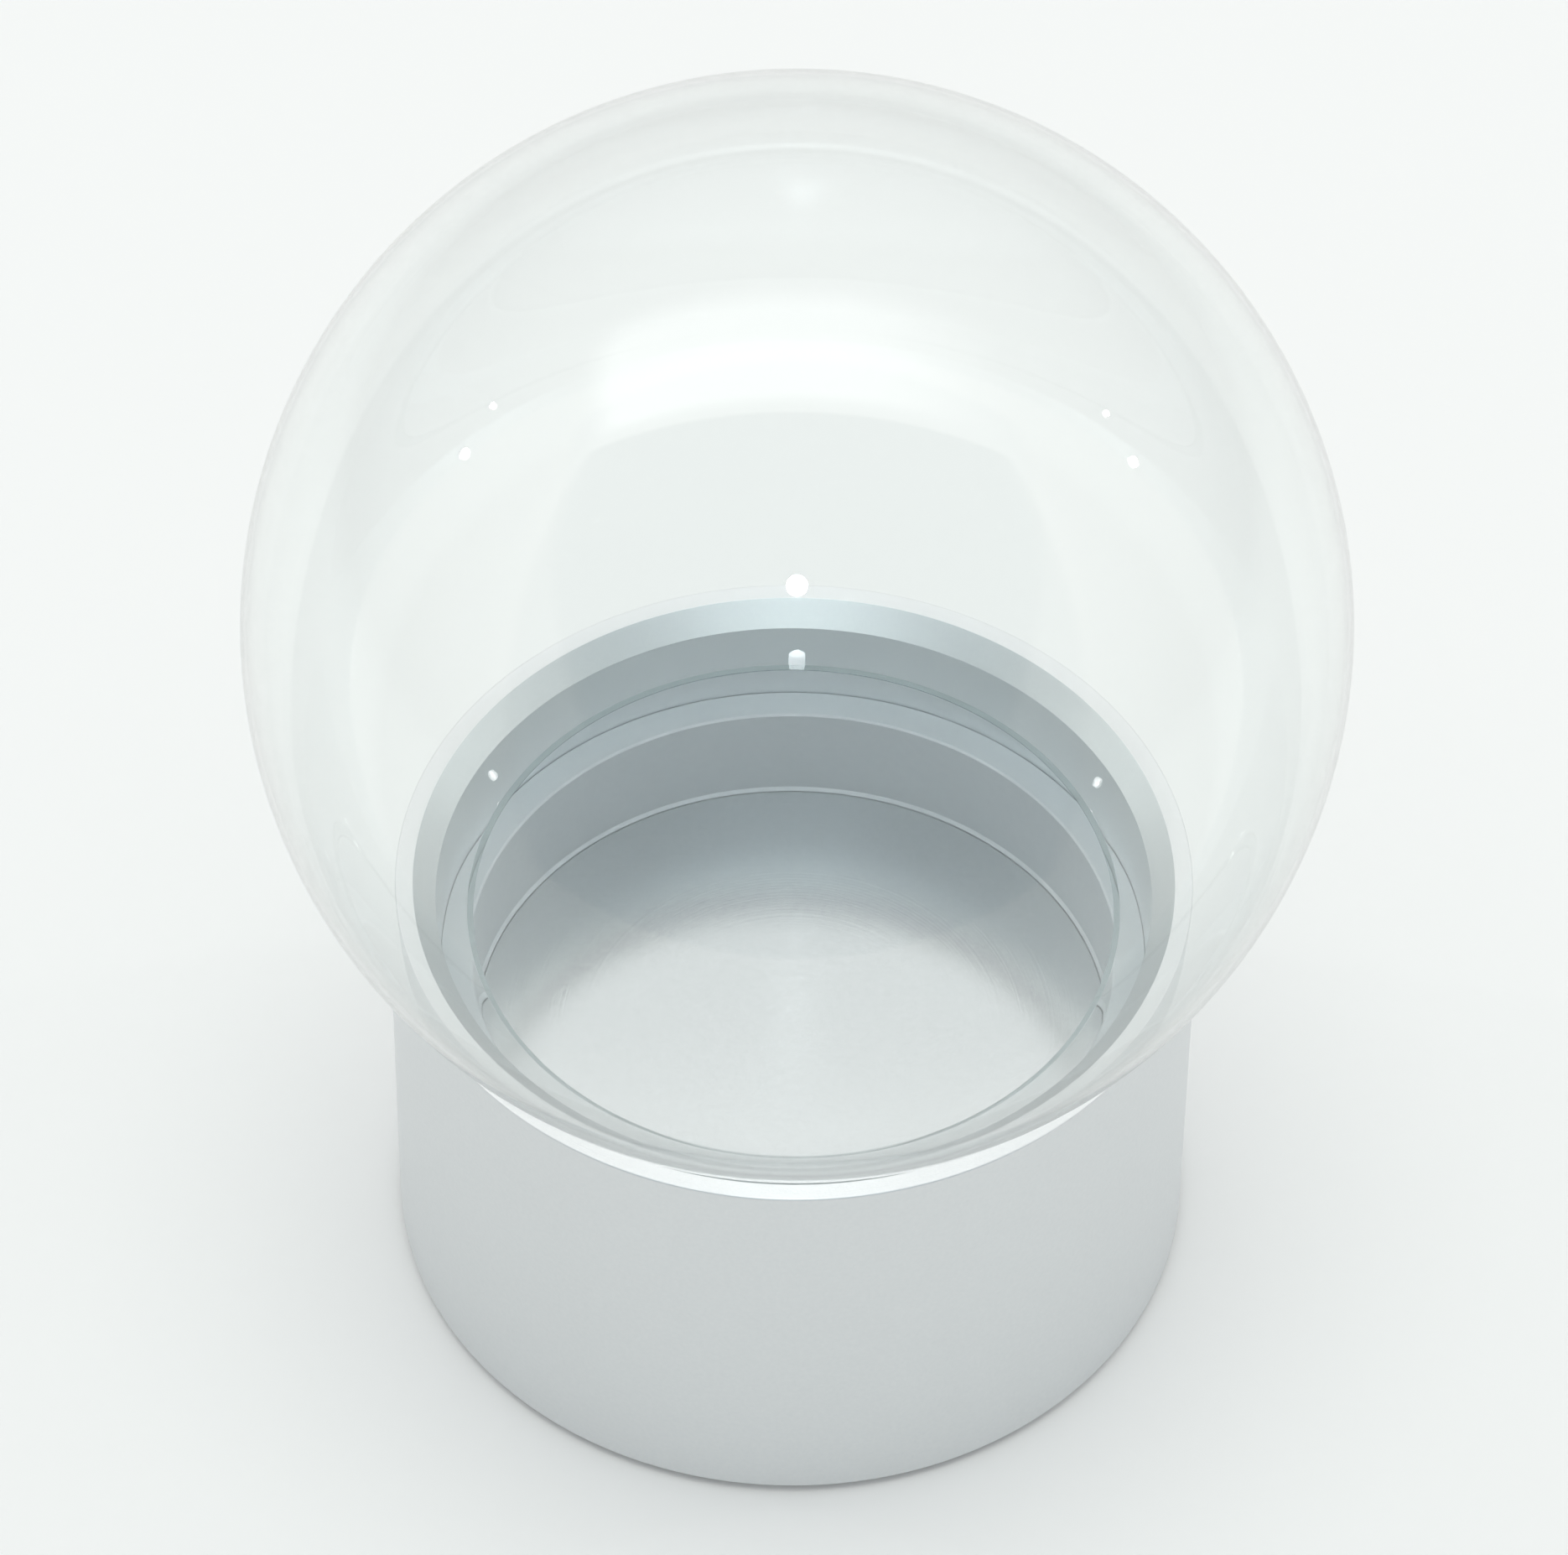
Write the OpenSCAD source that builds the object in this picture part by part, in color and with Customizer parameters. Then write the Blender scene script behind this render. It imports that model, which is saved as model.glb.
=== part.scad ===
// Display globe: a clear glass globe with an open ground mouth, seated on a satin
// aluminium pedestal with a shallow well, in which a small exhibit stands.
// Millimetres, +Z up. The origin is the centre of the face that it rests on.

/* [Glass globe] */
// Outside diameter of the glass globe
globe_d = 79.5; // [74:0.5:90]
// Thickness of the glass
glass_t = 0.5; // [0.4:0.1:2]
// Depth of the ground mouth below the rim of the base
mouth_drop = 3.2; // [2.4:0.1:4.6]
// Width ground off the sharp inner edge of the mouth
mouth_edge = 0.2; // [0.1:0.05:0.4]

/* [Base] */
// Outside diameter of the base
base_d = 60; // [56:0.5:66]
// Height of the rim above the surface that the object stands on
base_h = 35; // [31:0.5:50]
// Width of the flat land on the rim
land_w = 1.4; // [0.8:0.1:1.8]
// Width of the bevelled seat inside the land, measured across
seat_w = 1.7; // [1.2:0.1:2.2]
// Broken outer edge at the rim
rim_break = 0.15; // [0.1:0.05:0.4]
// Bevel on the outer edge at the foot
foot_bevel = 0.3; // [0.2:0.1:1.2]

/* [Well] */
// Depth of the display floor below the rim
well_depth = 17.5; // [12:0.5:18.5]
// Depth of the cup's top edge below the rim
cup_drop = 8.9; // [5:0.1:10]
// Wall thickness of the cup
cup_wall = 2.2; // [1.2:0.1:3]
// Thickness of the cup's bottom
cup_bottom_t = 2; // [1:0.1:2.5]
// Thickness of the turned floor disc
floor_disc_t = 1.5; // [1:0.1:2.5]
// Lead-in chamfer that guides the floor disc into its seat in the cup
lead_in = 0.25; // [0.15:0.05:0.8]
// Bevel on the edges of the cup
trim_bevel = 0.15; // [0.1:0.05:0.5]

/* [Foot] */
// Thickness of the shelf inside the sleeve that carries the cup
shelf_t = 3; // [2:0.1:4]
// Width of that shelf
shelf_w = 8; // [7:0.5:12]
// Thickness of the base plate
plate_t = 3; // [2.4:0.1:3.5]
// Step in the sleeve that the base plate closes against
plate_step = 1.4; // [0.8:0.1:1.8]
// Thickness of the rubber foot pad
pad_t = 1.5; // [1:0.1:2.5]
// How far the foot pad stands below the sleeve
pad_proud = 0.5; // [0.3:0.1:0.8]

/* [Clamp screws] */
// Number of clamp screws
screw_count = 3; // [3:1:6]
// Shank diameter of a clamp screw
screw_d = 3; // [2:0.5:4]
// Head diameter of a clamp screw
screw_head_d = 5.6; // [5:0.1:6]
// Width across flats of the hexagon socket
screw_socket = 2; // [1.5:0.1:2.2]
// Depth of the hexagon socket
screw_socket_depth = 1.1; // [0.8:0.1:1.4]
// Length of shank left free below the top of the shelf
screw_tip_gap = 0.5; // [0.2:0.1:1]

/* [Clearances] */
// Gap between the glass and the bevelled seat
glass_clear = 0.3; // [0.1:0.05:0.4]
// Gap around pieces that drop into a bore
slip_fit = 0.2; // [0.1:0.05:0.4]
// Gap around a screw in a clearance hole
hole_clear = 0.2; // [0.1:0.05:0.4]
// Gap around a screw in its thread
close_fit = 0.05; // [0.02:0.01:0.1]

/* [Hidden] */
$fn = 96;
globe_r = globe_d / 2;
base_r = base_d / 2;

// The seat is the cone that touches the globe along one circle
seat_top_r = base_r - land_w;
seat_mid_r = seat_top_r - seat_w / 2;
seat_angle = asin(seat_mid_r / (globe_r + glass_clear));
seat_h = seat_w * tan(seat_angle);
seat_mid_z = base_h - seat_h / 2;
bore_r = seat_top_r - seat_w;

// The globe hangs in the seat by its own curve
globe_z = seat_mid_z + (globe_r + glass_clear) * cos(seat_angle);
mouth_z = base_h - mouth_drop;
mouth_below = globe_z - mouth_z;
mouth_r_in = sqrt((globe_r - glass_t) ^ 2 - mouth_below ^ 2);

// Levels from the table upwards
sleeve_z = pad_proud;
plate_z = pad_t;
ballast_z = plate_z + plate_t;
floor_z = base_h - well_depth;
cup_floor_z = floor_z - floor_disc_t;
cup_z = cup_floor_z - cup_bottom_t;
shelf_z = cup_z - shelf_t;
cup_top_z = base_h - cup_drop;

// Radii inside the base
plate_bore_r = bore_r + plate_step;
plate_r = plate_bore_r - slip_fit;
ballast_r = bore_r - slip_fit;
shelf_r = bore_r - shelf_w;
cup_r = bore_r - slip_fit;
cup_bore_r = cup_r - cup_wall;
disc_seat_r = cup_bore_r - lead_in;
floor_disc_r = disc_seat_r - slip_fit;

// The clamp screws stand on a circle in the middle of the shelf
screw_ring_r = (shelf_r + bore_r) / 2;
screw_tip_z = cup_z - screw_tip_gap;

// Repeats its child at each clamp screw
module at_screws() {
  for (i = [0 : screw_count - 1])
    rotate([0, 0, 360 * i / screw_count])
      translate([screw_ring_r, 0, 0])
        children();
}

// Hole along a clamp screw from one level to another, with a margin past both
module screw_hole(from_z, to_z, clear) {
  margin = 0.5;
  at_screws()
    translate([0, 0, from_z - margin])
      cylinder(h = to_z - from_z + 2 * margin, d = screw_d + 2 * clear);
}

// Hollow sphere cut open at the mouth, with its sharp inner edge ground blunt
module glass_globe() {
  color("lightcyan", 0.35)
    difference() {
      translate([0, 0, globe_z])
        sphere(r = globe_r);
      translate([0, 0, globe_z])
        sphere(r = globe_r - glass_t);
      translate([0, 0, mouth_z - globe_d])
        cylinder(h = globe_d, r = globe_r);
      translate([0, 0, mouth_z - mouth_edge])
        cylinder(h = mouth_below, r = mouth_r_in + mouth_edge);
    }
}

// Outer wall of the base, with the rim, the seat and the inner shelf in one turned piece
module base_sleeve() {
  color("silver")
    difference() {
      rotate_extrude()
        polygon([
          [plate_bore_r, sleeve_z],
          [base_r - foot_bevel, sleeve_z],
          [base_r, sleeve_z + foot_bevel],
          [base_r, base_h - rim_break],
          [base_r - rim_break, base_h],
          [seat_top_r, base_h],
          [bore_r, base_h - seat_h],
          [bore_r, cup_z],
          [shelf_r, cup_z],
          [shelf_r, shelf_z],
          [bore_r, shelf_z],
          [bore_r, ballast_z],
          [plate_bore_r, ballast_z]
        ]);
      screw_hole(shelf_z, cup_z, close_fit);
    }
}

// Turned liner of the well, with a narrower seat for the floor disc at the bottom
module display_cup() {
  color("slategray")
    rotate_extrude()
      polygon([
        [0, cup_z],
        [cup_r - trim_bevel, cup_z],
        [cup_r, cup_z + trim_bevel],
        [cup_r, cup_top_z - trim_bevel],
        [cup_r - trim_bevel, cup_top_z],
        [cup_bore_r + trim_bevel, cup_top_z],
        [cup_bore_r, cup_top_z - trim_bevel],
        [cup_bore_r, floor_z + lead_in],
        [disc_seat_r, floor_z],
        [disc_seat_r, cup_floor_z],
        [0, cup_floor_z]
      ]);
}

// Lathe-faced plate that the exhibit stands on
module floor_disc() {
  color("gainsboro")
    translate([0, 0, cup_floor_z])
      cylinder(h = floor_disc_t, r = floor_disc_r);
}

// Steel weight under the well
module ballast_weight() {
  color("dimgray")
    difference() {
      translate([0, 0, ballast_z])
        cylinder(h = shelf_z - ballast_z, r = ballast_r);
      screw_hole(ballast_z, shelf_z, hole_clear);
    }
}

// Plate that closes the sleeve from below
module base_plate() {
  color("darkgray")
    difference() {
      translate([0, 0, plate_z])
        cylinder(h = plate_t, r = plate_r);
      screw_hole(plate_z, ballast_z, hole_clear);
      at_screws()
        translate([0, 0, plate_z - close_fit])
          screw_cone(screw_head_d + 2 * close_fit);
    }
}

// Right-angled cone of a countersunk head, widest at the bottom
module screw_cone(head_d) {
  cylinder(h = (head_d - screw_d) / 2, d1 = head_d, d2 = screw_d);
}

// Countersunk screws with hexagon sockets, heads down
module clamp_screws() {
  color("gray")
    at_screws()
      difference() {
        union() {
          translate([0, 0, plate_z])
            screw_cone(screw_head_d);
          translate([0, 0, plate_z])
            cylinder(h = screw_tip_z - plate_z, d = screw_d);
        }
        translate([0, 0, plate_z - screw_socket_depth])
          cylinder(h = 2 * screw_socket_depth, d = screw_socket / cos(30), $fn = 6);
      }
}

// Rubber pad that the object rests on
module foot_pad() {
  color("darkslategray")
    cylinder(h = pad_t, r = plate_r);
}

glass_globe();
base_sleeve();
display_cup();
floor_disc();
ballast_weight();
base_plate();
clamp_screws();
foot_pad();
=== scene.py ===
"""Looks of a display globe: clear blown glass on a turned aluminium base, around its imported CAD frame."""
import math

import bmesh
import bpy
from mathutils import Matrix, Quaternion, Vector


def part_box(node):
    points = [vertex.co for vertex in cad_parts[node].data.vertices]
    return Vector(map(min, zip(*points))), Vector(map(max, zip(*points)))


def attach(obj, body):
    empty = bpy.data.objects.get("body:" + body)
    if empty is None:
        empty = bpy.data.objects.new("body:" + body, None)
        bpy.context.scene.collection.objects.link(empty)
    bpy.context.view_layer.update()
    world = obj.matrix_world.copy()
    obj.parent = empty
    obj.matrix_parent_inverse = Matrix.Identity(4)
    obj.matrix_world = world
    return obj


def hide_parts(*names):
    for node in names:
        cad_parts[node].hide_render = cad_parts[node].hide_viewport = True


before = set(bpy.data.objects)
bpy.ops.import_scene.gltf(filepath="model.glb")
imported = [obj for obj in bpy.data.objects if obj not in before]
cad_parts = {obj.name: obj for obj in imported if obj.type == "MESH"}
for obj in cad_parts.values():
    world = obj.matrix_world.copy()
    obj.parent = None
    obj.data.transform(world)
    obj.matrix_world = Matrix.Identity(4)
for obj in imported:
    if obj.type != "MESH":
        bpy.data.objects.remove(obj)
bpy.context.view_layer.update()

MM = 0.001

# Sizes of the part that a node's box doesn't give
GLOBE_R = 39.75 * MM
GLASS_T = 0.5 * MM
MOUTH_EDGE = 0.2 * MM
BASE_R = 30 * MM
LAND_W = 1.4 * MM
SEAT_W = 1.7 * MM
GLASS_CLEAR = 0.3 * MM
FOOT_BEVEL = 0.3 * MM
PLATE_STEP = 1.4 * MM
SHELF_T = 3 * MM
SHELF_W = 8 * MM
SCREW_COUNT = 3
THREAD_R = 1.55 * MM
CUP_WALL = 2.2 * MM
CUP_BOTTOM_T = 2 * MM
TRIM_BEVEL = 0.15 * MM
LEAD_IN = 0.25 * MM

# Gap around the cup and the floor disc, closer than in the part
DROP_IN_GAP = 0.05 * MM

# Roundings that the tools leave on the real edges
SHARP = 0
BROKEN = 0.06 * MM
EASED = 0.15 * MM
GROUND = 0.08 * MM

# Fineness of the turned shapes
SEGMENTS = 256
GLOBE_STEPS = 96
FILLET_STEPS = 5
HOLE_SEGMENTS = 48
SHARP_ANGLE = math.radians(32)

# A point that is closer to the axis than this lies on it
ON_AXIS = 1e-7

# Places of the further materials on the globe and on the sleeve, after the first one
LIP_SLOT = 1
RIM_SLOT = 1
BORE_SLOT = 2
SEAT_SLOT = 3

# Share of the ground lip that is frost, where the rest is clear
LIP_FROST = 0.3

# Turn of a stretched highlight, in full turns
QUARTER_TURN = 0.25

# Places that come from the frame
globe_low, globe_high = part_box("glass_globe")
sleeve_low, sleeve_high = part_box("base_sleeve")
cup_low, cup_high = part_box("display_cup")
disc_low, disc_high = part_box("floor_disc")
plate_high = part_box("base_plate")[1]
globe_centre = Vector((0, 0, globe_high.z - GLOBE_R))
mouth_z = globe_low.z
rim_z = sleeve_high.z
shelf_z = cup_low.z - SHELF_T

# Radii and levels that follow from them
inner_r = GLOBE_R - GLASS_T
seat_top_r = BASE_R - LAND_W
bore_r = seat_top_r - SEAT_W
seat_angle = math.asin((seat_top_r - SEAT_W / 2) / (GLOBE_R + GLASS_CLEAR))
seat_z = rim_z - SEAT_W * math.tan(seat_angle)
plate_bore_r = bore_r + PLATE_STEP
shelf_r = bore_r - SHELF_W
screw_ring_r = (shelf_r + bore_r) / 2
cup_r = bore_r - DROP_IN_GAP
cup_bore_r = cup_high.x - CUP_WALL
disc_seat_r = cup_bore_r - LEAD_IN
disc_r = disc_seat_r - DROP_IN_GAP

# The photograph's frame, in its own pixels, and where its camera stood
PHOTO_W = 1870
PHOTO_H = 1854
FOCAL_PX = 10042
GLOBE_PX = (948.3, 746.7)
CAMERA_ELEVATION = math.radians(47.61)
CAMERA_DISTANCE = 602 * MM
CAMERA_ROLL = math.radians(0.61)
CAMERA_CLIP = 0.01
SENSOR_MM = 36

WHITE = (1, 1, 1)

# Light levels of the room, where 1 shows as white, and the height at which mirrors see the zenith's
BACKGROUND = 0.91
FILL_LIGHT = 0.74
FILL_COLOUR = (0.955, 0.985, 0.995)
HORIZON = 0.66
ZENITH = 1.22
ZENITH_HEIGHT = 0.8

# White table, and the distances between which it turns from lit to plain
FLOOR_SIZE = 8
FLOOR_NEAR = 0.25
FLOOR_FAR = 0.9

# Overhead softbox, as mirrors see it
SOFTBOX_LIGHT = 2.3
SOFTBOX_X = 0.70
SOFTBOX_NEAR = 0.0
SOFTBOX_FAR = 0.52
SOFTBOX_Z = 0.86
SOFTBOX_FADE = 0.20
SOFTBOX_LONG_FADE = 0.65
SOFTBOX_SHORT_FADE = 0.08

# Light that the softbox gives
KEY_Y = 0.05
KEY_SIZE = (1.2, 0.8)
KEY_POWER = 2.85
KEY_COLOUR = (1.0, 0.99, 0.94)

# Small flash just above the lens
FLASH_RISE = 0.078
FLASH_DISTANCE = 0.22
FLASH_SIZE = (0.015, 0.015)
FLASH_POWER = 0.055
FLASH_COLOUR = (0.92, 0.96, 1.0)

# Small lamps that stand on both sides: place on the right, width and power
SIDE_LAMPS = [
    ((0.70, 0.17, 0.40), 0.025, 0.15),
    ((0.65, 0.25, 0.47), 0.015, 0.05),
]

# Dark room in front of the table, as mirrors see it
FRONT_COLOUR = (0.59, 0.635, 0.665)
FRONT_LIGHT = 1.0
FRONT_LOW_X = 0.22
FRONT_LOW_Y = -0.20
FRONT_LOW_Z = 0.001
FRONT_HIGH_X = 0.68
FRONT_HIGH_Y = 0.01
FRONT_HIGH_Z = 0.84
FRONT_FADE = 0.2
FRONT_TOP_FADE = 0.06


def arc(centre_z, radius, start, end, steps):
    """Points of (radius, height) on a circle around the point of the axis at centre_z."""
    turns = [start + (end - start) * i / steps for i in range(steps + 1)]
    return [(radius * math.cos(a), centre_z + radius * math.sin(a), SHARP) for a in turns]


def rounded(corners):
    """Outline through (radius, height, fillet) corners, with an arc at each corner that has a fillet."""
    outline = []
    for i, (radius, height, fillet) in enumerate(corners):
        corner = Vector((radius, height))
        if fillet == SHARP:
            outline.append(corner)
            continue
        before = (Vector(corners[i - 1][:2]) - corner).normalized()
        after = (Vector(corners[(i + 1) % len(corners)][:2]) - corner).normalized()
        half = before.angle(after) / 2
        middle = corner + (before + after).normalized() * fillet / math.sin(half)
        first = corner + before * fillet / math.tan(half) - middle
        last = corner + after * fillet / math.tan(half) - middle
        sweep = math.pi - 2 * half
        for step in range(FILLET_STEPS + 1):
            part = sweep * step / FILLET_STEPS
            blend = first * math.sin(sweep - part) + last * math.sin(part)
            outline.append(middle + blend / math.sin(sweep))
    return outline


def lathe(name, corners, closed=True):
    """Mesh turned around the Z axis from an outline, which is closed or begins and ends on the axis."""
    verts = []
    rings = []
    for radius, height in rounded(corners):
        count = 1 if radius < ON_AXIS else SEGMENTS
        rings.append([len(verts) + i for i in range(count)])
        for i in range(count):
            turn = math.tau * i / SEGMENTS
            verts.append((radius * math.cos(turn), radius * math.sin(turn), height))
    faces = []
    for one, other in zip(rings, rings[1:] + rings[:1] if closed else rings[1:]):
        for i in range(SEGMENTS):
            j = (i + 1) % SEGMENTS
            around = (one[i % len(one)], one[j % len(one)], other[j % len(other)], other[i % len(other)])
            faces.append(list(dict.fromkeys(around)))
    mesh = bpy.data.meshes.new(name)
    mesh.from_pydata(verts, [], faces)
    shape = bmesh.new()
    shape.from_mesh(mesh)
    bmesh.ops.recalc_face_normals(shape, faces=shape.faces)
    shape.to_mesh(mesh)
    shape.free()
    smooth_between_edges(mesh)
    piece = bpy.data.objects.new(name, mesh)
    bpy.context.scene.collection.objects.link(piece)
    return piece


def smooth_between_edges(mesh):
    """Smooth shading that stops at sharp edges."""
    mesh.shade_smooth()
    mesh.set_sharp_from_angle(angle=SHARP_ANGLE)


def drill(piece, ring_r, hole_r, low, high):
    """Cuts a hole for each clamp screw through a piece, between two levels."""
    bits = bmesh.new()
    for i in range(SCREW_COUNT):
        turn = math.tau * i / SCREW_COUNT
        spot = Vector((ring_r * math.cos(turn), ring_r * math.sin(turn), (low + high) / 2))
        bmesh.ops.create_cone(
            bits, cap_ends=True, segments=HOLE_SEGMENTS, radius1=hole_r, radius2=hole_r, depth=high - low,
            matrix=Matrix.Translation(spot),
        )
    mesh = bpy.data.meshes.new("bits")
    bits.to_mesh(mesh)
    bits.free()
    tool = bpy.data.objects.new("bits", mesh)
    bpy.context.scene.collection.objects.link(tool)
    cut = piece.modifiers.new("holes", "BOOLEAN")
    cut.operation = "DIFFERENCE"
    cut.solver = "EXACT"
    cut.object = tool
    result = piece.evaluated_get(bpy.context.evaluated_depsgraph_get())
    drilled = bpy.data.meshes.new_from_object(result)
    piece.modifiers.remove(cut)
    piece.data = drilled
    smooth_between_edges(drilled)
    bpy.data.objects.remove(tool)


def keep_flats(piece):
    """Keeps wide faces flat beside small roundings."""
    weighted = piece.modifiers.new("flat faces", "WEIGHTED_NORMAL")
    weighted.keep_sharp = True


def paint(piece, slot, chosen):
    """Gives a material slot to the faces whose centre passes the test."""
    for face in piece.data.polygons:
        if chosen(face.center):
            face.material_index = slot


def stand_for(piece, node, body, materials):
    """Puts a dressed piece in the place of its CAD node."""
    for material in materials:
        piece.data.materials.append(material)
    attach(piece, body)
    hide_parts(node)


class Nodes:
    """Short calls for adding nodes to a tree."""

    def __init__(self, tree, output):
        self.tree = tree
        self.output = tree.nodes[output]

    def add(self, kind, inputs, **settings):
        node = self.tree.nodes.new("ShaderNode" + kind)
        for name, value in settings.items():
            setattr(node, name, value)
        for key, value in inputs.items():
            self.feed(node.inputs[key], value)
        return node

    def feed(self, socket, value):
        if isinstance(value, bpy.types.NodeSocket):
            self.tree.links.new(value, socket)
        else:
            socket.default_value = value

    def calc(self, operation, *values):
        """One step of arithmetic."""
        return self.add("Math", dict(enumerate(values)), operation=operation).outputs[0]

    def number_between(self, share, one, other):
        """A number between two, by the share of the other."""
        return self.add("Mix", {0: share, 2: one, 3: other}).outputs[0]

    def show(self, share, one, other):
        """Makes the result a mix of two shaders, by the share of the other."""
        mix = self.add("MixShader", {0: share, 1: one.outputs[0], 2: other.outputs[0]})
        self.feed(self.output.inputs["Surface"], mix.outputs[0])


class Finish(Nodes):
    """One material, which starts from a plain surface."""

    def __init__(self, name):
        self.material = bpy.data.materials.new(name)
        self.material.use_nodes = True
        super().__init__(self.material.node_tree, "Material Output")
        self.surface = self.tree.nodes["Principled BSDF"]

    def set(self, **values):
        for name, value in values.items():
            self.feed(self.surface.inputs[name.replace("_", " ")], value)

    def place(self):
        return self.add("TexCoord", {}).outputs["Object"]

    def grain(self, size, detail=2.0):
        """Even noise with features of about this size."""
        noise = self.add("TexNoise", {"Vector": self.place(), "Scale": 1 / size, "Detail": detail})
        return noise.outputs["Fac"]

    def across(self, along_z):
        """Distance along which a lathe tool moved: up a wall, or out over a face."""
        if along_z:
            return self.add("SeparateXYZ", {"Vector": self.place()}).outputs["Z"]
        flat = self.add("VectorMath", {0: self.place(), 1: (1, 1, 0)}, operation="MULTIPLY")
        return self.add("VectorMath", {0: flat.outputs["Vector"]}, operation="LENGTH").outputs["Value"]

    def tool_marks(self, along_z, pitch, depth):
        """Relief of uneven grooves, left by a lathe tool at about this pitch."""
        way = self.across(along_z)
        noise = self.add("TexNoise", {"W": way, "Scale": 1 / pitch, "Detail": 3.0}, noise_dimensions="1D")
        return self.bump(noise.outputs["Fac"], depth)

    def between(self, value, low, high):
        """A 0 to 1 value, spread over another range."""
        spread = self.add("MapRange", {"Value": value, "To Min": low, "To Max": high})
        return spread.outputs["Result"]

    def tinted(self, value, dark, light):
        """A colour between two, by a 0 to 1 value."""
        mix = self.add("Mix", {0: value, 6: (*dark, 1), 7: (*light, 1)}, data_type="RGBA")
        return mix.outputs[2]

    def bump(self, height, depth, under=None):
        """Relief of a given depth, over another relief if there is one."""
        bump = self.add("Bump", {"Height": height, "Distance": depth, "Strength": 1.0})
        if under is not None:
            self.feed(bump.inputs["Normal"], under)
        return bump.outputs["Normal"]


def clear_glass():
    """Blown glass, which bends what is seen through it and lets light pass straight."""
    glass = Finish("clear_glass")
    glass.set(Base_Color=(0.982, 0.994, 0.988, 1), Roughness=0.0, IOR=1.5, Transmission_Weight=1.0)
    clear = glass.add("BsdfTransparent", {"Color": (0.95, 0.965, 0.96, 1)})
    path = glass.add("LightPath", {})
    passing = glass.calc("MAXIMUM", path.outputs["Is Shadow Ray"], path.outputs["Is Diffuse Ray"])
    glass.show(passing, glass.surface, clear)
    return glass.material


def ground_glass():
    """Finely ground lip of the mouth: thin frost that light half passes."""
    glass = Finish("ground_glass")
    grain = glass.grain(0.4 * MM)
    glass.set(
        Base_Color=glass.tinted(grain, (0.20, 0.25, 0.255), (0.27, 0.32, 0.325)),
        Roughness=glass.between(grain, 0.4, 0.55),
        Specular_IOR_Level=0.3,
    )
    clear = glass.add("BsdfTransparent", {"Color": (0.86, 0.91, 0.905, 1)})
    glass.show(LIP_FROST, clear, glass.surface)
    return glass.material


def metal(name, dark, light, roughness, grain_size, grain_depth=None, marks=None, sheen=None):
    """A metal whose tone and roughness vary by a fine grain, with relief from tool marks, grain or both."""
    finish = Finish(name)
    grain = finish.grain(grain_size)
    relief = None
    if marks is not None:
        relief = finish.tool_marks(**marks)
    if grain_depth is not None:
        relief = finish.bump(grain, grain_depth, relief)
    finish.set(
        Base_Color=finish.tinted(grain, dark, light),
        Metallic=1.0,
        Roughness=finish.between(grain, *roughness),
        Normal=relief,
    )
    if sheen is not None:
        lathe_sheen(finish, sheen)
    return finish.material


def lathe_sheen(finish, strength):
    """Stretches highlights across the rings that a lathe tool left on a face."""
    around = finish.add("Tangent", {}, direction_type="RADIAL", axis="Z")
    finish.set(Anisotropic=strength, Anisotropic_Rotation=QUARTER_TURN, Tangent=around.outputs["Tangent"])


def satin_aluminium():
    """Side of the base."""
    return metal(
        "satin_aluminium",
        dark=(0.70, 0.72, 0.73),
        light=(0.76, 0.775, 0.78),
        roughness=(0.44, 0.52),
        grain_size=0.35 * MM,
        grain_depth=0.004 * MM,
    )


def machined_aluminium():
    """Flat land of the rim."""
    return metal(
        "machined_aluminium",
        dark=(0.86, 0.875, 0.88),
        light=(0.94, 0.945, 0.945),
        roughness=(0.36, 0.50),
        grain_size=0.18 * MM,
        grain_depth=0.012 * MM,
        marks={"along_z": False, "pitch": 0.12 * MM, "depth": 0.006 * MM},
        sheen=0.7,
    )


def seat_aluminium():
    """Bevelled seat of the globe."""
    return metal(
        "seat_aluminium",
        dark=(0.65, 0.68, 0.69),
        light=(0.73, 0.755, 0.76),
        roughness=(0.40, 0.47),
        grain_size=0.2 * MM,
        marks={"along_z": True, "pitch": 0.15 * MM, "depth": 0.004 * MM},
    )


def bored_aluminium():
    """Walls of the well."""
    return metal(
        "bored_aluminium",
        dark=(0.745, 0.78, 0.795),
        light=(0.805, 0.835, 0.845),
        roughness=(0.66, 0.76),
        grain_size=0.6 * MM,
        grain_depth=0.002 * MM,
        marks={"along_z": True, "pitch": 0.25 * MM, "depth": 0.006 * MM},
    )


def faced_aluminium():
    """Floor of the well."""
    return metal(
        "faced_aluminium",
        dark=(0.60, 0.625, 0.63),
        light=(0.655, 0.68, 0.685),
        roughness=(0.17, 0.21),
        grain_size=0.5 * MM,
        marks={"along_z": False, "pitch": 0.22 * MM, "depth": 0.004 * MM},
        sheen=0.6,
    )


def turned_metal(name, dark, light):
    """Plain turned metal of the pieces inside the base."""
    return metal(
        name,
        dark=dark,
        light=light,
        roughness=(0.32, 0.46),
        grain_size=0.8 * MM,
        marks={"along_z": False, "pitch": 0.4 * MM, "depth": 0.006 * MM},
    )


def cut_rubber():
    """Matte sheet rubber of the foot."""
    rubber = Finish("pad_rubber")
    grain = rubber.grain(0.5 * MM, detail=6.0)
    rubber.set(
        Base_Color=rubber.tinted(grain, (0.012, 0.012, 0.013), (0.028, 0.028, 0.030)),
        Roughness=rubber.between(grain, 0.62, 0.85),
        Normal=rubber.bump(grain, 0.05 * MM),
    )
    return rubber.material


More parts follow.
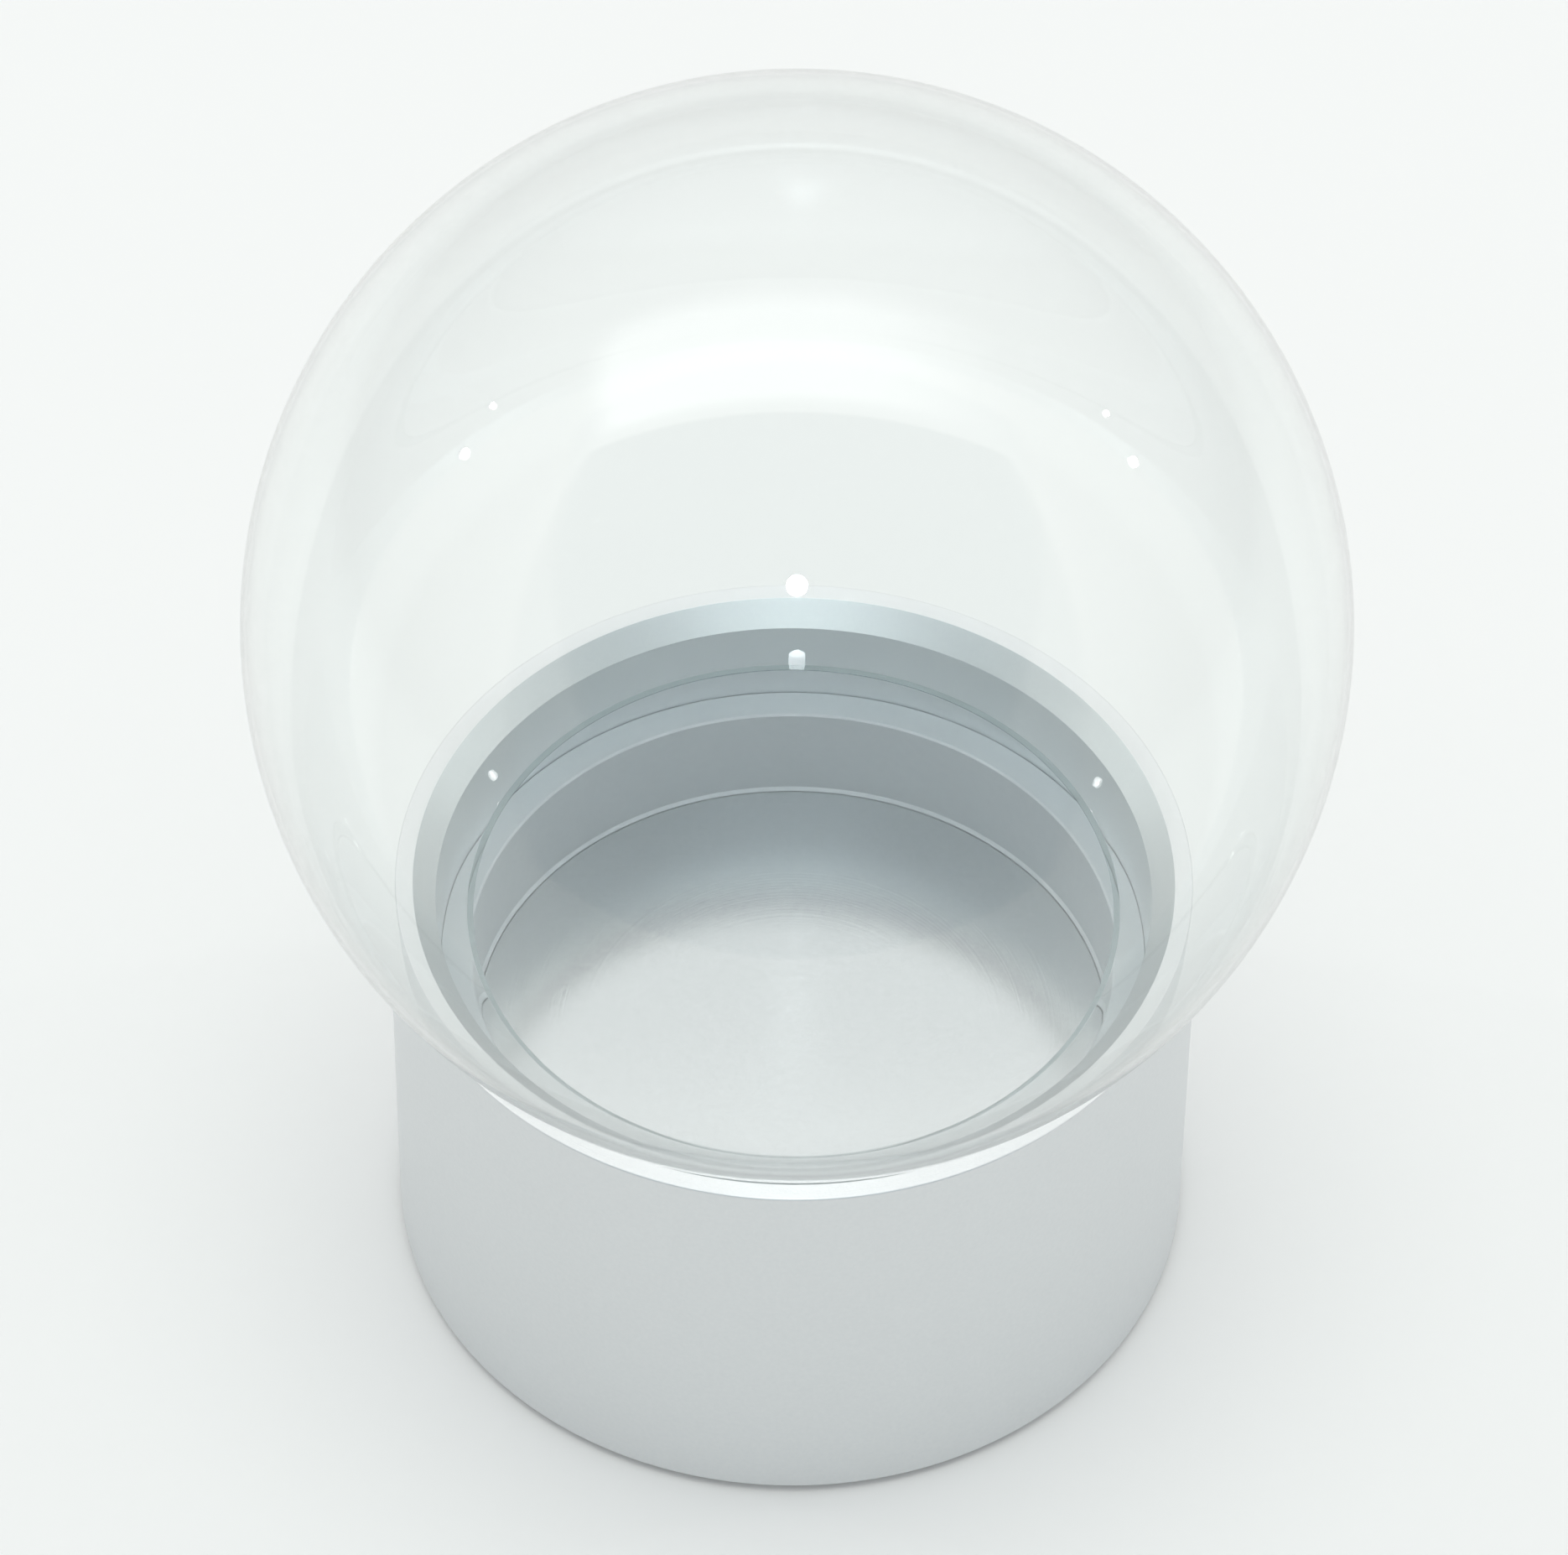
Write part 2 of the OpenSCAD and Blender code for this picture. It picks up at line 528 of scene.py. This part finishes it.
def glass_globe():
    """Blown shell from the crown out over the wall, under the ground mouth and back up inside."""
    crown = math.pi / 2
    mouth_r = math.sqrt(inner_r ** 2 - (globe_centre.z - mouth_z) ** 2) + MOUTH_EDGE
    outside_end = math.asin((mouth_z - globe_centre.z) / GLOBE_R)
    inside_start = -math.acos(mouth_r / inner_r)
    outside = arc(globe_centre.z, GLOBE_R, crown, outside_end, GLOBE_STEPS)
    inside = arc(globe_centre.z, inner_r, inside_start, crown, GLOBE_STEPS)
    outside[-1] = (*outside[-1][:2], GROUND)
    outside[0] = (0, globe_centre.z + GLOBE_R, SHARP)
    inside[-1] = (0, globe_centre.z + inner_r, SHARP)
    globe = lathe("globe_glass", outside + [(mouth_r, mouth_z, GROUND)] + inside, closed=False)
    stand_for(globe, "glass_globe", "globe", [clear_glass(), ground_glass()])
    lip_top = inside[0][1]
    paint(globe, LIP_SLOT, lambda spot: spot.z < lip_top and spot.xy.length < mouth_r + GLASS_T)


def base_sleeve():
    """Outer wall of the base, from the foot up over the rim and the bevelled seat, and down the bore."""
    sleeve = lathe("sleeve_turned", [
        (plate_bore_r, sleeve_low.z, BROKEN),
        (BASE_R - FOOT_BEVEL, sleeve_low.z, BROKEN),
        (BASE_R, sleeve_low.z + FOOT_BEVEL, BROKEN),
        (BASE_R, rim_z, EASED),
        (seat_top_r, rim_z, BROKEN),
        (bore_r, seat_z, BROKEN),
        (bore_r, cup_low.z, SHARP),
        (shelf_r, cup_low.z, BROKEN),
        (shelf_r, shelf_z, BROKEN),
        (bore_r, shelf_z, SHARP),
        (bore_r, plate_high.z, BROKEN),
        (plate_bore_r, plate_high.z, SHARP),
    ])
    drill(sleeve, screw_ring_r, THREAD_R, shelf_z - SHELF_T, cup_low.z + SHELF_T)
    keep_flats(sleeve)
    stand_for(
        sleeve, "base_sleeve", "base",
        [satin_aluminium(), machined_aluminium(), bored_aluminium(), seat_aluminium()],
    )
    paint(sleeve, RIM_SLOT, lambda spot: spot.z > seat_z and spot.xy.length < BASE_R - BROKEN)
    paint(sleeve, SEAT_SLOT, lambda spot: seat_z < spot.z < rim_z - BROKEN and spot.xy.length < seat_top_r)
    paint(sleeve, BORE_SLOT, lambda spot: spot.z < seat_z and spot.xy.length < plate_bore_r - BROKEN)


def display_cup():
    """Liner of the well, eased at the top, with a narrower seat for the floor disc."""
    cup = lathe("cup_turned", [
        (0, cup_low.z, SHARP),
        (cup_r - TRIM_BEVEL, cup_low.z, BROKEN),
        (cup_r, cup_low.z + TRIM_BEVEL, BROKEN),
        (cup_r, cup_high.z, BROKEN),
        (cup_bore_r + TRIM_BEVEL, cup_high.z, BROKEN),
        (cup_bore_r, cup_high.z - TRIM_BEVEL, BROKEN),
        (cup_bore_r, disc_high.z + LEAD_IN, BROKEN),
        (disc_seat_r, disc_high.z, BROKEN),
        (disc_seat_r, cup_low.z + CUP_BOTTOM_T, SHARP),
        (0, cup_low.z + CUP_BOTTOM_T, SHARP),
    ], closed=False)
    keep_flats(cup)
    stand_for(cup, "display_cup", "base", [bored_aluminium()])


def floor_disc():
    """Lathe-faced plate that the exhibit stands on."""
    disc = lathe("floor_faced", [
        (0, disc_low.z, SHARP),
        (disc_r, disc_low.z, BROKEN),
        (disc_r, disc_high.z, BROKEN),
        (0, disc_high.z, SHARP),
    ], closed=False)
    keep_flats(disc)
    stand_for(disc, "floor_disc", "base", [faced_aluminium()])


def hidden_nodes():
    """Finishes of the pieces that stay as the CAD made them."""
    finishes = {
        "ballast_weight": turned_metal("ballast_steel", (0.36, 0.37, 0.38), (0.46, 0.47, 0.48)),
        "base_plate": turned_metal("plate_aluminium", (0.62, 0.63, 0.64), (0.70, 0.71, 0.72)),
        "clamp_screws": turned_metal("screw_steel", (0.46, 0.47, 0.48), (0.55, 0.56, 0.57)),
        "foot_pad": cut_rubber(),
    }
    for node, material in finishes.items():
        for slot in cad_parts[node].material_slots:
            slot.material = material


def photo_camera():
    """Camera that puts the globe's centre on its pixel of the photograph."""
    outward = Vector((0, -math.cos(CAMERA_ELEVATION), math.sin(CAMERA_ELEVATION)))
    right = Vector((1, 0, 0))
    up = outward.cross(right)
    per_pixel = CAMERA_DISTANCE / FOCAL_PX
    globe_right = right * (GLOBE_PX[0] - PHOTO_W / 2) * per_pixel
    globe_down = up * (GLOBE_PX[1] - PHOTO_H / 2) * per_pixel
    aim = globe_centre - globe_right + globe_down
    lens = bpy.data.cameras.new("camera")
    lens.sensor_fit = "HORIZONTAL"
    lens.sensor_width = SENSOR_MM
    lens.lens = FOCAL_PX / PHOTO_W * SENSOR_MM
    lens.clip_start = CAMERA_CLIP
    camera = bpy.data.objects.new("camera", lens)
    camera.location = globe_centre + outward * CAMERA_DISTANCE
    facing = (aim - camera.location).to_track_quat("-Z", "Y")
    camera.rotation_mode = "QUATERNION"
    camera.rotation_quaternion = facing @ Quaternion((0, 0, 1), CAMERA_ROLL)
    bpy.context.scene.collection.objects.link(camera)
    bpy.context.scene.camera = camera
    return camera


def lamp(name, location, target, size, power, colour=WHITE):
    """Round or oval area light that faces a target."""
    light = bpy.data.lights.new(name, "AREA")
    light.shape = "ELLIPSE"
    light.size, light.size_y = size
    light.energy = power
    light.color = colour
    holder = bpy.data.objects.new(name, light)
    holder.location = location
    holder.rotation_mode = "QUATERNION"
    holder.rotation_quaternion = (target - location).to_track_quat("-Z", "Y")
    holder.visible_camera = False
    bpy.context.scene.collection.objects.link(holder)
    return holder


def studio_lights(camera):
    """Light from the softbox, small lamps on each side, and a small flash just above the lens."""
    above_globe = Vector((0, KEY_Y, SOFTBOX_Z))
    key = lamp("key", above_globe, above_globe - Vector((0, 0, 1)), KEY_SIZE, KEY_POWER, KEY_COLOUR)
    key.visible_glossy = False
    key.visible_transmission = False
    for side in (-1, 1):
        for (out, back, rise), width, power in SIDE_LAMPS:
            lamp("side_lamp", Vector((side * out, back, rise)), globe_centre, (width, width), power)
    above = camera.rotation_quaternion @ Vector((0, FLASH_RISE, 0))
    towards = (camera.location + above - globe_centre).normalized()
    place = globe_centre + towards * FLASH_DISTANCE
    flash = lamp("flash", place, globe_centre, FLASH_SIZE, FLASH_POWER, FLASH_COLOUR)
    flash_lit = bpy.data.collections.new("flash_lit")
    for piece in ("globe_glass", "sleeve_turned"):
        flash_lit.objects.link(bpy.data.objects[piece])
    flash.light_linking.receiver_collection = flash_lit


def stage_sheet(name, corners, material):
    """Flat piece of the studio, which isn't part of the object."""
    mesh = bpy.data.meshes.new(name)
    mesh.from_pydata(corners, [], [range(len(corners))])
    mesh.materials.append(material)
    sheet = bpy.data.objects.new(name, mesh)
    bpy.context.scene.collection.objects.link(sheet)
    return sheet


def hide_from_light(sheet):
    """Keeps a studio sheet out of the picture and of the light on the object."""
    sheet.visible_camera = False
    sheet.visible_diffuse = False
    sheet.visible_shadow = False


def mirrored_rays(nodes):
    """1 for rays that something has mirrored on their way, and 0 for others."""
    bounces = nodes.add("LightPath", {}).outputs["Glossy Depth"]
    return nodes.calc("GREATER_THAN", bounces, 0)


def seen_rays(nodes):
    """1 for rays of sight, mirrors and glass, and 0 for light."""
    path = nodes.add("LightPath", {})
    seen = path.outputs["Is Camera Ray"]
    for kind in ("Is Glossy Ray", "Is Transmission Ray"):
        seen = nodes.calc("MAXIMUM", seen, path.outputs[kind])
    return seen


def soft_edge(finish, value, start, end):
    """0 to 1 across a soft edge, between two values."""
    edge = finish.add(
        "MapRange", {"Value": value, "From Min": start, "From Max": end}, interpolation_type="SMOOTHSTEP"
    )
    return edge.outputs["Result"]


def glow_in_mirrors(finish, colour, level, cover):
    """Glow of a studio sheet that only mirrored rays see, where the sheet covers what is behind it."""
    glow = finish.add("Emission", {"Color": (*colour, 1), "Strength": level})
    unseen = finish.add("BsdfTransparent", {})
    finish.show(finish.calc("MULTIPLY", mirrored_rays(finish), cover), unseen, glow)


def softbox():
    """Overhead panel with soft edges, dimmer to the right, as mirrors see it."""
    cloth = Finish("softbox")
    spot = cloth.add("SeparateXYZ", {"Vector": cloth.place()})
    edges = [
        ("X", -SOFTBOX_X, SOFTBOX_FADE - SOFTBOX_X),
        ("X", SOFTBOX_X, SOFTBOX_X - SOFTBOX_LONG_FADE),
        ("Y", SOFTBOX_NEAR, SOFTBOX_NEAR + SOFTBOX_SHORT_FADE),
        ("Y", SOFTBOX_FAR, SOFTBOX_FAR - SOFTBOX_FADE),
    ]
    cover = 1.0
    for axis, bare, covered in edges:
        cover = cloth.calc("MULTIPLY", cover, soft_edge(cloth, spot.outputs[axis], bare, covered))
    glow_in_mirrors(cloth, WHITE, SOFTBOX_LIGHT, cover)
    panel = stage_sheet("softbox", [
        (-SOFTBOX_X, SOFTBOX_NEAR, SOFTBOX_Z),
        (-SOFTBOX_X, SOFTBOX_FAR, SOFTBOX_Z),
        (SOFTBOX_X, SOFTBOX_FAR, SOFTBOX_Z),
        (SOFTBOX_X, SOFTBOX_NEAR, SOFTBOX_Z),
    ], cloth.material)
    hide_from_light(panel)


def dark_front():
    """The unlit room in front of the table, wider towards the top, which only mirrored light sees."""
    shade = Finish("dark_front")
    spot = shade.add("SeparateXYZ", {"Vector": shade.place()})
    half = shade.add(
        "MapRange",
        {"Value": spot.outputs["Z"], "From Max": FRONT_HIGH_Z, "To Min": FRONT_LOW_X, "To Max": FRONT_HIGH_X},
    )
    aside = shade.calc("ABSOLUTE", spot.outputs["X"])
    share = shade.calc("DIVIDE", aside, half.outputs["Result"])
    sides = soft_edge(shade, share, 1, 1 - FRONT_FADE)
    top = soft_edge(shade, spot.outputs["Z"], FRONT_HIGH_Z, FRONT_HIGH_Z * (1 - FRONT_TOP_FADE))
    glow_in_mirrors(shade, FRONT_COLOUR, FRONT_LIGHT, shade.calc("MULTIPLY", sides, top))
    sheet = stage_sheet("dark_front", [
        (-FRONT_LOW_X, FRONT_LOW_Y, FRONT_LOW_Z),
        (FRONT_LOW_X, FRONT_LOW_Y, FRONT_LOW_Z),
        (FRONT_HIGH_X, FRONT_HIGH_Y, FRONT_HIGH_Z),
        (-FRONT_HIGH_X, FRONT_HIGH_Y, FRONT_HIGH_Z),
    ], shade.material)
    hide_from_light(sheet)


def pale_floor():
    """White table: lit and shaded near the object, plain white far from it, and dimmer there in mirrors."""
    paper = Finish("white_table")
    paper.set(Base_Color=(0.9, 0.905, 0.9, 1), Roughness=0.9, Specular_IOR_Level=0.1)
    level = paper.number_between(mirrored_rays(paper), BACKGROUND, HORIZON)
    plain = paper.add("Emission", {"Color": (*WHITE, 1), "Strength": level})
    far = soft_edge(paper, paper.across(along_z=False), FLOOR_NEAR, FLOOR_FAR)
    paper.show(paper.calc("MULTIPLY", far, seen_rays(paper)), paper.surface, plain)
    half = FLOOR_SIZE / 2
    stage_sheet("floor", [
        (-half, -half, 0),
        (half, -half, 0),
        (half, half, 0),
        (-half, half, 0),
    ], paper.material)


def white_room():
    """World that fills with soft light, looks white, and is dimmer near the horizon in mirrors."""
    world = bpy.data.worlds.new("room")
    world.use_nodes = True
    bpy.context.scene.world = world
    room = Nodes(world.node_tree, "World Output")
    fill = room.add("Background", {"Color": (*FILL_COLOUR, 1), "Strength": FILL_LIGHT})
    way = room.add("TexCoord", {}).outputs["Generated"]
    height = room.add("SeparateXYZ", {"Vector": way}).outputs["Z"]
    wall = room.add(
        "MapRange", {"Value": height, "From Max": ZENITH_HEIGHT, "To Min": HORIZON, "To Max": ZENITH}
    )
    level = room.number_between(mirrored_rays(room), BACKGROUND, wall.outputs["Result"])
    white = room.add("Background", {"Color": (*WHITE, 1), "Strength": level})
    room.show(seen_rays(room), fill, white)


camera = photo_camera()
glass_globe()
base_sleeve()
display_cup()
floor_disc()
hidden_nodes()
pale_floor()
white_room()
softbox()
dark_front()
studio_lights(camera)
bpy.context.scene.view_settings.view_transform = "Standard"
